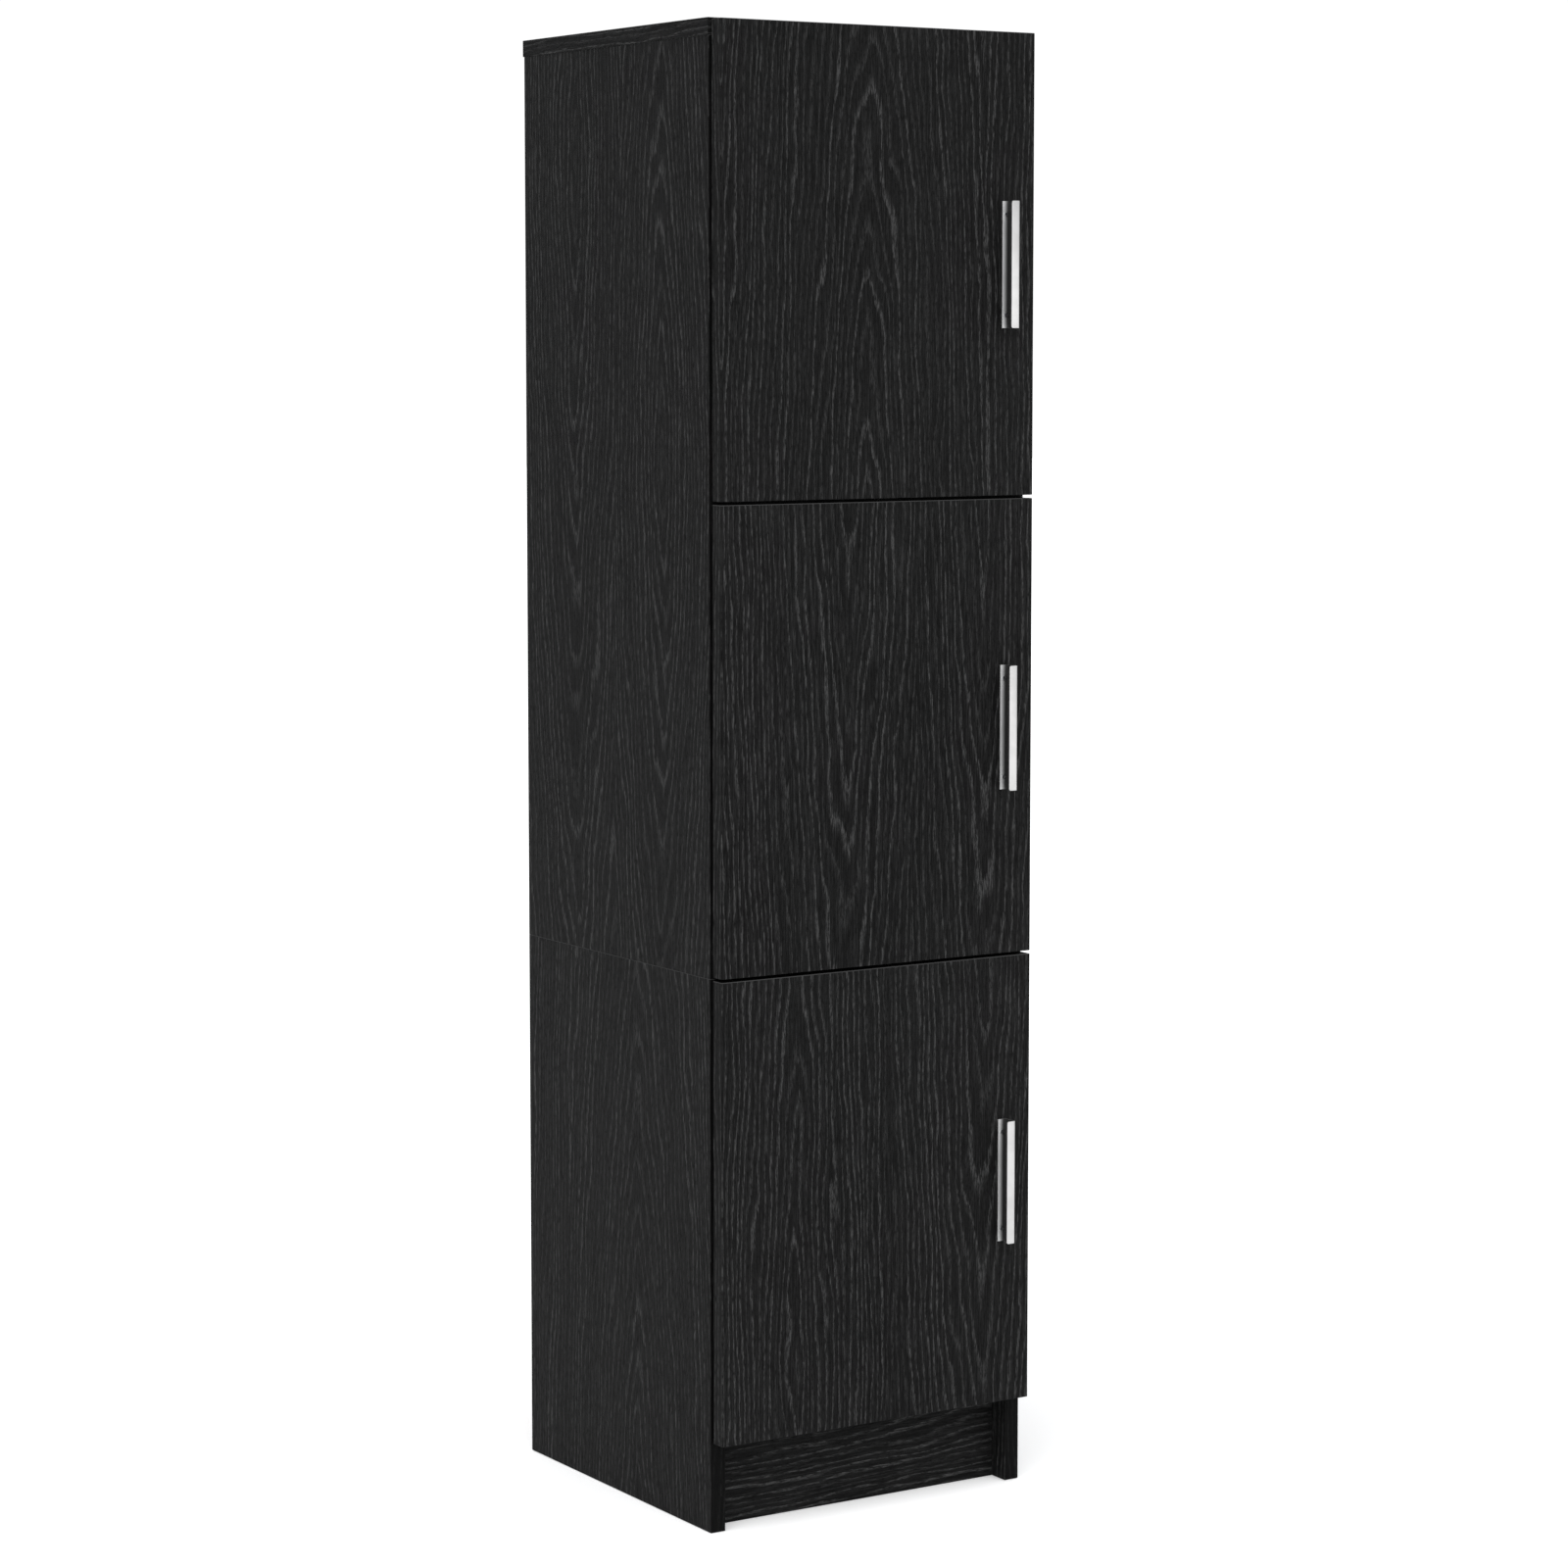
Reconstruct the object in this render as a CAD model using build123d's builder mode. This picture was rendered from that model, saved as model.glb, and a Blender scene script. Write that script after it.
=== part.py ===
from build123d import *

import os

os.makedirs("parts", exist_ok=True)

# Tall pantry cabinet, in millimetres. +Z is up, -Y is the front, and the origin lies on the floor at
# the middle of the cabinet's box. Every board is melamine-faced; the doors hang on cup hinges.

# --- carcass ---
cabinet_height = 1420.0
carcass_width = 357.0
side_depth = 350.0
board = 16.0
board_edge_round = 0.5
top_overhang = 1.0
plinth_height = 88.0
plinth_recess = 22.5
shelf_back_gap = 2.0

# --- back panels ---
back_thickness = 3.0
groove_width = 3.4
groove_depth = 6.0
groove_setback = 10.0
back_play = 0.5
strip_wall = 1.2
strip_height = 14.0

# --- doors ---
door_count = 3
door_thickness = 16.0
door_standoff = 2.0
door_side_reveal = 1.75
door_gap = 3.0
door_top_reveal = 1.5
door_bottom_lap = 1.5
door_edge_round = 0.8

# --- handles: a channel of sheet metal, open towards the hinge side ---
handle_length = 121.0
handle_width = 9.7
handle_projection = 17.0
handle_wall = 1.5
handle_corner = 2.0
handle_edge_distance = 28.3
handle_screw_spacing = 96.0
handle_screw_radius = 1.9
handle_screw_head_radius = 3.8
handle_screw_head_height = 1.4

# --- concealed hinges ---
hinge_inset = 90.0
cup_centre_offset = 6.25
cup_radius = 17.5
cup_depth = 12.0
cup_wall = 0.8
cup_play = 0.1
cup_flange_height = 60.0
cup_flange_width = 22.0
cup_flange_thickness = 1.0
cup_rim = 1.5
cup_screw_spacing = 48.0
cup_screw_offset = 6.0
cup_screw_radius = 1.7
cup_screw_grip = 11.0
cup_screw_head_radius = 3.0
cup_screw_head_height = 0.6
plate_setback = 37.0
plate_screw_spacing = 32.0
plate_screw_radius = 2.5
plate_screw_grip = 11.0
plate_screw_head_radius = 3.6
plate_screw_head_height = 1.6

# --- joining hardware ---
front_cam_inset = 60.0
rear_cam_inset = 80.0
cam_reach = 24.0
cam_radius = 7.5
cam_past_bolt = 4.4
cam_wall = 4.5
bolt_bore_radius = 3.6
bolt_thread_radius = 2.8
bolt_thread_length = 10.5
bolt_shank_radius = 3.1
bolt_neck_radius = 1.8
bolt_neck_length = 4.0
bolt_head_length = 3.0
dowel_radius = 4.0
dowel_length = 30.0
dowel_side_share = 0.6
seam_dowel_inset = 50.0
plinth_dowel_share = 0.25
hole_play = 0.1

# --- derived places ---
inner_width = carcass_width - 2 * board
left_face = -carcass_width / 2
total_depth = handle_projection + door_thickness + door_standoff + side_depth + top_overhang
front = -total_depth / 2 + handle_projection + door_thickness + door_standoff
rear = front + side_depth
door_back = front - door_standoff
door_front = door_back - door_thickness
top_underside = cabinet_height - board
groove_front = rear - groove_setback - groove_width
back_front = groove_front + (groove_width - back_thickness) / 2
shelf_depth = back_front - shelf_back_gap - front
door_width = carcass_width - 2 * door_side_reveal
door_bottom = plinth_height - door_bottom_lap
door_stack = cabinet_height - door_top_reveal - door_bottom - (door_count - 1) * door_gap
door_height = door_stack / door_count
door_left = left_face + door_side_reveal
door_names = ["lower", "middle", "upper"]
door_floors = [door_bottom + i * (door_height + door_gap) for i in range(door_count)]
seam_height = door_floors[1] - door_gap / 2
shelf_floors = {
    "bottom_panel": plinth_height,
    "lower_shelf": seam_height - board,
    "upper_shelf": door_floors[-1] - door_gap / 2 - board / 2,
}
hands = {"left": -1, "right": 1}

# places along the depth where hardware joins the boards
cam_places = [front + front_cam_inset, rear - rear_cam_inset]
cam_depth = board / 2 + cam_past_bolt
dowel_place = sum(cam_places) / 2
seam_dowel_places = [front + seam_dowel_inset, (front + rear) / 2, rear - seam_dowel_inset]
plinth_dowel_heights = [plinth_height * share for share in (plinth_dowel_share, 1 - plinth_dowel_share)]
plinth_front_middle = front + plinth_recess + board / 2
plinth_rear_middle = rear - shelf_back_gap - board / 2
plinth_middles = {"front_plinth": plinth_front_middle, "rear_plinth": plinth_rear_middle}
hinge_heights = [
    [floor + hinge_inset, floor + door_height - hinge_inset] for floor in door_floors
]


def save(piece, name):
    """Labels a finished piece and writes it to its own file."""
    piece.part.label = name
    export_step(piece.part, f"parts/{name}.step")


def slab(low, high, mode=Mode.ADD):
    """Adds or cuts a block between two opposite corners of the piece being made."""
    with BuildSketch(Plane.XY.offset(low[2])) as outline:
        with Locations(((low[0] + high[0]) / 2, (low[1] + high[1]) / 2)):
            Rectangle(high[0] - low[0], high[1] - low[1])
    extrude(outline.sketch, amount=high[2] - low[2], mode=mode)


def facing(x, y, z, direction):
    """A plane through a point, facing along a direction."""
    return Plane(origin=(x, y, z), z_dir=direction)


def drill(plane, radius, depth):
    """Bores a blind hole into the piece being made, from a plane that faces out of it."""
    with BuildSketch(plane) as mouth:
        Circle(radius)
    extrude(mouth.sketch, amount=-depth, mode=Mode.SUBTRACT)


def turned(plane, steps):
    """Adds a turned pin; each step is (start, end, radius) along the plane's normal."""
    for start, end, radius in steps:
        with BuildSketch(plane.offset(start)) as section:
            Circle(radius)
        extrude(section.sketch, amount=end - start)


def shelf_end(hand, y, floor):
    """The plane where a shelf's end meets a side, facing from the shelf towards that side."""
    return facing(hand * inner_width / 2, y, floor + board / 2, (hand, 0, 0))


def side_end(hand, y, height):
    """The plane at the upper end of a side board, facing up, at the middle of its thickness."""
    return facing(hand * (inner_width + board) / 2, y, height, (0, 0, 1))


def flipped(plane):
    """The same place, facing the other way."""
    return Plane(origin=plane.origin, z_dir=-plane.z_dir)


# every joint between boards, as the plane of contact facing out of the board that holds the cam
cam_joints = [
    shelf_end(hand, y, floor)
    for hand in hands.values()
    for y in cam_places
    for floor in shelf_floors.values()
]
top_cam_joints = [side_end(hand, y, top_underside) for hand in hands.values() for y in cam_places]
shelf_dowels = [
    shelf_end(hand, dowel_place, floor) for hand in hands.values() for floor in shelf_floors.values()
]
plinth_dowels = [
    facing(hand * inner_width / 2, y, z, (hand, 0, 0))
    for hand in hands.values()
    for y in plinth_middles.values()
    for z in plinth_dowel_heights
]
top_dowels = [side_end(hand, dowel_place, top_underside) for hand in hands.values()]
seam_dowels = [
    side_end(hand, y, seam_height) for hand in hands.values() for y in seam_dowel_places
]


def near(plane, low, high, hand=0):
    """True where a joint lies between two heights, on the given hand if one is given."""
    return low - hole_play < plane.origin.Z < high + hole_play and hand * plane.origin.X >= 0


# --- sides: two boards each, one on the other, located by dowels in the seam ---
dowel_grip = dowel_length / 2
side_dowel_grip = board * dowel_side_share


def make_side(name, hand, low, high):
    """A side board with its groove for the back panel and the holes of every joint it shares."""
    inner = hand * inner_width / 2
    outer = hand * carcass_width / 2
    with BuildPart() as side:
        slab((min(inner, outer), front, low), (max(inner, outer), rear, high))
        fillet(side.edges(), board_edge_round)
        groove_floor = inner + hand * groove_depth
        slab(
            (min(inner, groove_floor), groove_front, low),
            (max(inner, groove_floor), groove_front + groove_width, high),
            Mode.SUBTRACT,
        )
        for joint in cam_joints:
            if near(joint, low, high, hand):
                drill(flipped(joint), bolt_thread_radius + hole_play, bolt_thread_length + hole_play)
        for joint in shelf_dowels + plinth_dowels:
            if near(joint, low, high, hand):
                drill(flipped(joint), dowel_radius + hole_play, side_dowel_grip + hole_play)
        for joint in seam_dowels:
            if near(joint, low, high, hand):
                end = joint if high == seam_height else flipped(joint)
                drill(end, dowel_radius + hole_play, dowel_grip + hole_play)
        if high == top_underside:
            for joint in top_dowels:
                if near(joint, low, high, hand):
                    drill(joint, dowel_radius + hole_play, dowel_length - side_dowel_grip + hole_play)
            for joint in top_cam_joints:
                if near(joint, low, high, hand):
                    drill(joint, bolt_bore_radius, cam_reach)
                    pocket = facing(inner, joint.origin.Y, high - cam_reach, (-hand, 0, 0))
                    drill(pocket, cam_radius + hole_play, cam_depth + hole_play)
        if hand < 0:
            for height in [z for pair in hinge_heights for z in pair if low < z < high]:
                for z in (height - plate_screw_spacing / 2, height + plate_screw_spacing / 2):
                    hole = facing(inner, front + plate_setback, z, (1, 0, 0))
                    drill(hole, plate_screw_radius + hole_play, plate_screw_grip + hole_play)
    save(side, name)


for side_name, side_hand in hands.items():
    make_side(f"{side_name}_side_lower", side_hand, 0, seam_height)
    make_side(f"{side_name}_side_upper", side_hand, seam_height, top_underside)

# --- top panel: lies on the sides, with a groove for the back panel ---
bracket_width = 40.0
bracket_leg = 32.0
bracket_steel = 2.0
bracket_screw_radius = 2.0
bracket_screw_grip = 11.0
bracket_screw_head_radius = 4.0
bracket_screw_head_height = 1.6
bracket_screw_spacing = 24.0
bracket_screw_inset = 18.0
bracket_bend_round = 1.0
bracket_hole_radius = 3.0
bracket_hole_drop = 20.0
bracket_screw_places = [
    (x, back_front - bracket_screw_inset)
    for x in (-bracket_screw_spacing / 2, bracket_screw_spacing / 2)
]

with BuildPart() as top_panel:
    reach = carcass_width / 2 + top_overhang
    slab((-reach, front, top_underside), (reach, rear + top_overhang, cabinet_height))
    fillet(top_panel.edges(), board_edge_round)
    groove_reach = inner_width / 2 + groove_depth
    slab(
        (-groove_reach, groove_front, top_underside),
        (groove_reach, groove_front + groove_width, top_underside + groove_depth),
        Mode.SUBTRACT,
    )
    for joint in top_cam_joints:
        drill(flipped(joint), bolt_thread_radius + hole_play, bolt_thread_length + hole_play)
    for joint in top_dowels:
        drill(flipped(joint), dowel_radius + hole_play, side_dowel_grip + hole_play)
    for x, y in bracket_screw_places:
        hole = facing(x, y, top_underside, (0, 0, -1))
        drill(hole, bracket_screw_radius + hole_play, bracket_screw_grip + hole_play)
save(top_panel, "top_panel")


# --- bottom panel and the two fixed shelves ---
def make_shelf(name, floor):
    """A shelf between the sides, with bolt bores in its ends and cam pockets underneath."""
    with BuildPart() as shelf:
        slab((-inner_width / 2, front, floor), (inner_width / 2, front + shelf_depth, floor + board))
        front_edges = shelf.edges().filter_by(Axis.X).group_by(Axis.Y)[0]
        fillet(front_edges, board_edge_round)
        for joint in cam_joints:
            if near(joint, floor, floor + board):
                drill(joint, bolt_bore_radius, cam_reach)
                cam_x = joint.origin.X - joint.z_dir.X * cam_reach
                pocket = facing(cam_x, joint.origin.Y, floor, (0, 0, -1))
                drill(pocket, cam_radius + hole_play, cam_depth + hole_play)
        for joint in shelf_dowels:
            if near(joint, floor, floor + board):
                drill(joint, dowel_radius + hole_play, dowel_length - side_dowel_grip + hole_play)
    save(shelf, name)


for shelf_name, shelf_floor in shelf_floors.items():
    make_shelf(shelf_name, shelf_floor)

# --- plinths: the front one is set back under the doors, the rear one carries the back panel ---
for plinth_name, middle in plinth_middles.items():
    with BuildPart() as plinth:
        slab(
            (-inner_width / 2, middle - board / 2, 0),
            (inner_width / 2, middle + board / 2, plinth_height),
        )
        for joint in plinth_dowels:
            if abs(joint.origin.Y - middle) < board:
                drill(joint, dowel_radius + hole_play, dowel_length - side_dowel_grip + hole_play)
    save(plinth, plinth_name)

# --- back: two thin panels in the grooves, joined by a plastic strip at the seam ---
back_reach = inner_width / 2 + groove_depth - back_play
back_spans = {
    "back_panel_lower": (plinth_height + hole_play, seam_height - strip_wall / 2 - hole_play),
    "back_panel_upper": (
        seam_height + strip_wall / 2 + hole_play,
        top_underside + groove_depth - back_play,
    ),
}
bracket_hole_height = top_underside - bracket_steel - bracket_hole_drop
for back_name, (back_low, back_high) in back_spans.items():
    with BuildPart() as back_panel:
        slab(
            (-back_reach, back_front, back_low),
            (back_reach, back_front + back_thickness, back_high),
        )
        if back_high > bracket_hole_height > back_low:
            drill(facing(0, back_front, bracket_hole_height, (0, -1, 0)), bracket_hole_radius, board)
    save(back_panel, back_name)

with BuildPart() as back_joining_strip:
    strip_reach = inner_width / 2 - back_play
    slot_front = back_front - hole_play
    slot_rear = back_front + back_thickness + hole_play
    slab(
        (-strip_reach, slot_front - strip_wall, seam_height - strip_height / 2),
        (strip_reach, slot_rear + strip_wall, seam_height + strip_height / 2),
    )
    for slot_low, slot_high in (
        (seam_height - strip_height / 2, seam_height - strip_wall / 2),
        (seam_height + strip_wall / 2, seam_height + strip_height / 2),
    ):
        slab((-strip_reach, slot_front, slot_low), (strip_reach, slot_rear, slot_high), Mode.SUBTRACT)
save(back_joining_strip, "back_joining_strip")

# --- joining hardware ---
bolt_neck_end = cam_reach - 2
bolt_neck_start = bolt_neck_end - bolt_neck_length
bolt_steps = [
    (-bolt_thread_length, 0, bolt_thread_radius),
    (0, bolt_neck_start, bolt_shank_radius),
    (bolt_neck_start, bolt_neck_end, bolt_neck_radius),
    (bolt_neck_end, bolt_neck_end + bolt_head_length, bolt_shank_radius),
]
with BuildPart() as cam_bolts:
    for joint in cam_joints + top_cam_joints:
        turned(flipped(joint), bolt_steps)
save(cam_bolts, "cam_bolts")

driver_slot_width = 1.6
driver_slot_depth = 1.5


def cam_housing(face, bolt_side):
    """Adds a cam housing under a face, cut for a driver and for the bolt that enters one side."""
    turned(face, [(-cam_depth, 0, cam_radius)])
    drill(bolt_side, bolt_bore_radius, 2 * cam_radius - cam_wall)
    with BuildSketch(face) as cross:
        Rectangle(cam_radius, driver_slot_width)
        Rectangle(driver_slot_width, cam_radius)
    extrude(cross.sketch, amount=-driver_slot_depth, mode=Mode.SUBTRACT)


with BuildPart() as cam_housings:
    for joint in cam_joints:
        hand = joint.z_dir.X
        cam_x = joint.origin.X - hand * cam_reach
        cam_housing(
            facing(cam_x, joint.origin.Y, joint.origin.Z - board / 2, (0, 0, -1)),
            facing(cam_x + hand * cam_radius, joint.origin.Y, joint.origin.Z, (hand, 0, 0)),
        )
    for joint in top_cam_joints:
        hand = 1 if joint.origin.X > 0 else -1
        cam_z = joint.origin.Z - cam_reach
        cam_housing(
            facing(hand * inner_width / 2, joint.origin.Y, cam_z, (-hand, 0, 0)),
            side_end(hand, joint.origin.Y, cam_z + cam_radius),
        )
save(cam_housings, "cam_housings")

with BuildPart() as dowels:
    for joint in shelf_dowels + plinth_dowels + top_dowels:
        turned(joint, [(side_dowel_grip - dowel_length, side_dowel_grip, dowel_radius)])
    for joint in seam_dowels:
        turned(joint, [(-dowel_grip, dowel_grip, dowel_radius)])
save(dowels, "dowels")

# --- wall bracket: an angle under the top panel, screwed through the back panel to the wall ---
with BuildPart() as wall_bracket:
    slab(
        (-bracket_width / 2, back_front - bracket_leg, top_underside - bracket_steel),
        (bracket_width / 2, back_front, top_underside),
    )
    slab(
        (-bracket_width / 2, back_front - bracket_steel, top_underside - bracket_steel - bracket_leg),
        (bracket_width / 2, back_front, top_underside),
    )
    bend = wall_bracket.edges().filter_by(Axis.X).group_by(Axis.Y)[-1].sort_by(Axis.Z)[-1]
    fillet(bend, bracket_bend_round)
    for x, y in bracket_screw_places:
        drill(facing(x, y, top_underside, (0, 0, 1)), bracket_screw_radius + hole_play, board)
    drill(facing(0, back_front, bracket_hole_height, (0, 1, 0)), bracket_hole_radius, board)
save(wall_bracket, "wall_bracket")

with BuildPart() as bracket_screws:
    for x, y in bracket_screw_places:
        turned(
            facing(x, y, top_underside - bracket_steel, (0, 0, 1)),
            [
                (-bracket_screw_head_height, 0, bracket_screw_head_radius),
                (0, bracket_steel + bracket_screw_grip, bracket_screw_radius),
            ],
        )
save(bracket_screws, "bracket_screws")

# --- concealed hinges: plan places measured from the left side's inner face and front edge ---
# The door hangs on the outer links and turns about their far pivot, while the links turn the other
# way on the arm. The inner link's far eye is wider than its rivet, because it follows the door at
# a fixed ratio. Depths of the linkage follow the door's back, so its shape holds at any standoff.
arm_outer_pivot = (10.7, 8.0 - door_standoff)
cup_outer_pivot = (-6.7, -3.99 - door_standoff)
arm_inner_pivot = (20.0, -5.5 - door_standoff)
cup_inner_pivot = (-0.7, -3.75 - door_standoff)
inner_eye_centre = (-0.7, -4.95 - door_standoff)
outer_knees = [(12.0, -door_standoff), (0.0, -8.0 - door_standoff)]
rivet_radius = 1.0
rivet_play = 0.06
rivet_head_radius = 1.5
rivet_head_height = 0.5
layer_play = 0.1
outer_eye_radius = 2.2
outer_half_width = 1.3
inner_eye_radius = 3.6
inner_eye_bore = 2.45
inner_near_radius = 2.0
inner_half_width = 1.7
inner_half_height = 1.9
middle_layer = (2.3, 3.5)
outer_layer = (4.9, 6.1)
cup_lug_half_width = 1.8
arm_eye_radius = 2.8
arm_tip_radius = 2.0
arm_web_height = 11.0
arm_sheet = 1.5
arm_flange_sheet = 1.2
arm_half_height = 7.8
arm_web_span = (12.0 - door_standoff, 66.0)
arm_flange_span = (22.0, 66.0)
arm_flange_lift = 0.4
nose_root_span = (14.0 - door_standoff, 26.0 - door_standoff)
nose_root_depth = 3.0
arm_screw_places = (33.0, 50.0)
arm_screw_radius = 2.0
arm_screw_grip = 6.0
arm_screw_head_radius = 3.4
arm_screw_head_height = 1.4
boss_span = (26.0, 60.0)
boss_half_height = 4.6
plate_sheet = 2.0
plate_span = (20.0, 62.0)
plate_half_height = 7.0
plate_wing_half_height = 23.0
plate_wing_half_depth = 6.0
rivet_wall_bite = 0.27
cup_centre_x = left_face + board + cup_centre_offset


def plan(point):
    """Model coordinates of a place given from the left side's inner face and front edge."""
    return (left_face + board + point[0], front + point[1])


def disc(point, radius, mode=Mode.ADD):
    """Adds or cuts a circle at a plan place in the sketch being made."""
    with Locations(plan(point)):
        Circle(radius, mode=mode)


def trail(points, half_width):
    """Adds a bar of even width through plan places to the sketch being made, round at its turns."""
    for start, end in zip(points, points[1:]):
        with BuildLine() as path:
            Line(plan(start), plan(end))
        trace(path.line, line_width=2 * half_width)
    for point in points:
        disc(point, half_width)


def plan_block(x_span, y_span, z_span, mode=Mode.ADD):
    """Adds or cuts a block given by plan spans and heights."""
    low = plan((x_span[0], y_span[0]))
    high = plan((x_span[1], y_span[1]))
    slab((*low, z_span[0]), (*high, z_span[1]), mode)


def sheet_pair(height, layer):
    """Where the two mirror-image sheets of a layer start, and their thickness."""
    low, high = layer
    return (height + low, height - high), high - low


def rivet(pivot, height, half_length):
    """Adds a rivet with two heads on a plan place, centred on a hinge's height."""
    middle = Plane(origin=(*plan(pivot), height))
    head = half_length + rivet_head_height
    turned(
        middle,
        [
            (-head, -half_length, rivet_head_radius),
            (-half_length, half_length, rivet_radius),
            (half_length, head, rivet_head_radius),
        ],
    )


def outer_links(heights):
    """Cheek plates of the outer links, two for each hinge, with a knee that clears the side."""
    for height in heights:
        starts, thickness = sheet_pair(height, outer_layer)
        for start in starts:
            with BuildSketch(Plane.XY.offset(start)) as outline:
                trail([arm_outer_pivot, *outer_knees, cup_outer_pivot], outer_half_width)
                for pivot in (arm_outer_pivot, cup_outer_pivot):
                    disc(pivot, outer_eye_radius)
                    disc(pivot, rivet_radius + rivet_play, Mode.SUBTRACT)
            extrude(outline.sketch, amount=thickness)


def inner_links(heights):
    """The inner links, one for each hinge, with a wide eye at the cup's end."""
    for height in heights:
        with BuildSketch(Plane.XY.offset(height - inner_half_height)) as outline:
            trail([arm_inner_pivot, inner_eye_centre], inner_half_width)
            disc(arm_inner_pivot, inner_near_radius)
            disc(inner_eye_centre, inner_eye_radius)
            disc(arm_inner_pivot, rivet_radius + rivet_play, Mode.SUBTRACT)
            disc(inner_eye_centre, inner_eye_bore, Mode.SUBTRACT)
        extrude(outline.sketch, amount=2 * inner_half_height)


def hinge_arms(heights):
    """The arms: a channel over each mounting plate, with two nose sheets that hold the rivets."""
    web_low = arm_web_height
    web_high = web_low + arm_sheet
    for height in heights:
        plan_block(
            (web_low, web_high),
            arm_web_span,
            (height - arm_half_height, height + arm_half_height),
        )
        flange_layer = (arm_half_height - arm_flange_sheet, arm_half_height)
        starts, thickness = sheet_pair(height, flange_layer)
        for start in starts:
            plan_block(
                (plate_sheet + arm_flange_lift, web_low),
                arm_flange_span,
                (start, start + thickness),
            )
        starts, thickness = sheet_pair(height, middle_layer)
        for start in starts:
            with BuildSketch(Plane.XY.offset(start)) as outline:
                disc(arm_outer_pivot, arm_eye_radius)
                disc(arm_inner_pivot, arm_tip_radius)
                root_low = web_low - nose_root_depth
                with Locations(plan(((root_low + web_high) / 2, sum(nose_root_span) / 2))):
                    Rectangle(web_high - root_low, nose_root_span[1] - nose_root_span[0])
                make_hull()
                for pivot in (arm_outer_pivot, arm_inner_pivot):
                    disc(pivot, rivet_radius, Mode.SUBTRACT)
            extrude(outline.sketch, amount=thickness)
        for y in arm_screw_places:
            top = facing(*plan((web_high, y)), height, (1, 0, 0))
            drill(top, arm_screw_radius + hole_play, arm_sheet)


def hinge_plates(heights):
    """The mounting plates: a cross-shaped base on the side, with a boss that carries the arm."""
    boss_top = arm_web_height - hole_play
    for height in heights:
        plan_block(
            (0, plate_sheet),
            plate_span,
            (height - plate_half_height, height + plate_half_height),
        )
        plan_block(
            (0, plate_sheet),
            (plate_setback - plate_wing_half_depth, plate_setback + plate_wing_half_depth),
            (height - plate_wing_half_height, height + plate_wing_half_height),
        )
        plan_block(
            (plate_sheet, boss_top),
            boss_span,
            (height - boss_half_height, height + boss_half_height),
        )
        for y in arm_screw_places:
            top = facing(*plan((boss_top, y)), height, (1, 0, 0))
            drill(top, arm_screw_radius + hole_play, arm_screw_grip)
        for z in (height - plate_screw_spacing / 2, height + plate_screw_spacing / 2):
            top = facing(*plan((plate_sheet, plate_setback)), z, (1, 0, 0))
            drill(top, plate_screw_radius + hole_play, plate_sheet)


def cup_screw_seat(z):
    """The plane on a cup's flange under a screw head, facing out of the door."""
    return facing(cup_centre_x + cup_screw_offset, door_back + cup_flange_thickness, z, (0, 1, 0))


def hinge_cups(heights):
    """The cups: a pressed pot let into the door, its flange, and two lugs for the inner rivet."""
    lug_root = -door_standoff - cup_depth + cup_wall / 2 + cup_lug_half_width
    for height in heights:
        mouth = Plane(origin=(cup_centre_x, door_back, height), x_dir=(1, 0, 0), z_dir=(0, 1, 0))
        turned(mouth, [(-cup_depth, 0, cup_radius)])
        with BuildSketch(mouth) as flange:
            Circle(cup_radius + cup_rim)
            Rectangle(cup_flange_width, cup_flange_height)
            fillet(flange.vertices(), cup_rim)
        extrude(flange.sketch, amount=cup_flange_thickness)
        flange_top = mouth.offset(cup_flange_thickness)
        drill(flange_top, cup_radius - cup_wall, cup_flange_thickness + cup_depth - cup_wall)
        starts, thickness = sheet_pair(height, middle_layer)
        for start in starts:
            with BuildSketch(Plane.XY.offset(start)) as outline:
                trail([(cup_inner_pivot[0], lug_root), cup_inner_pivot], cup_lug_half_width)
                disc(cup_inner_pivot, rivet_radius, Mode.SUBTRACT)
            extrude(outline.sketch, amount=thickness)
        with BuildSketch(Plane.XY.offset(height - cup_radius)) as across:
            disc(cup_outer_pivot, rivet_radius)
        extrude(across.sketch, amount=2 * cup_radius, mode=Mode.SUBTRACT)
        for z in (height - cup_screw_spacing / 2, height + cup_screw_spacing / 2):
            drill(cup_screw_seat(z), cup_screw_radius + hole_play, cup_flange_thickness)


def cup_rivets(heights):
    """The rivets in the cups: a plain one across the cup's walls and a headed one in the lugs."""
    offset = cup_centre_x - plan(cup_outer_pivot)[0]
    reach = ((cup_radius - cup_wall) ** 2 - offset**2) ** 0.5 + rivet_wall_bite
    for height in heights:
        middle = Plane(origin=(*plan(cup_outer_pivot), height))
        turned(middle, [(-reach, reach, rivet_radius)])
        rivet(cup_inner_pivot, height, middle_layer[1] + layer_play)


# --- doors, each with its handle, cups, links and bumpers ---
bumper_radius = 4.0
bumper_play = 0.15
bumper_inset = 14.0
bumper_x = carcass_width / 2 - board / 2
handle_right = door_left + door_width - handle_edge_distance
handle_left = handle_right - handle_width
handle_front = door_front - handle_projection
handle_screw_x = (handle_left + handle_right - handle_wall) / 2
handle_outer_round = 1.2
handle_screw_tip = 1.0


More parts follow.
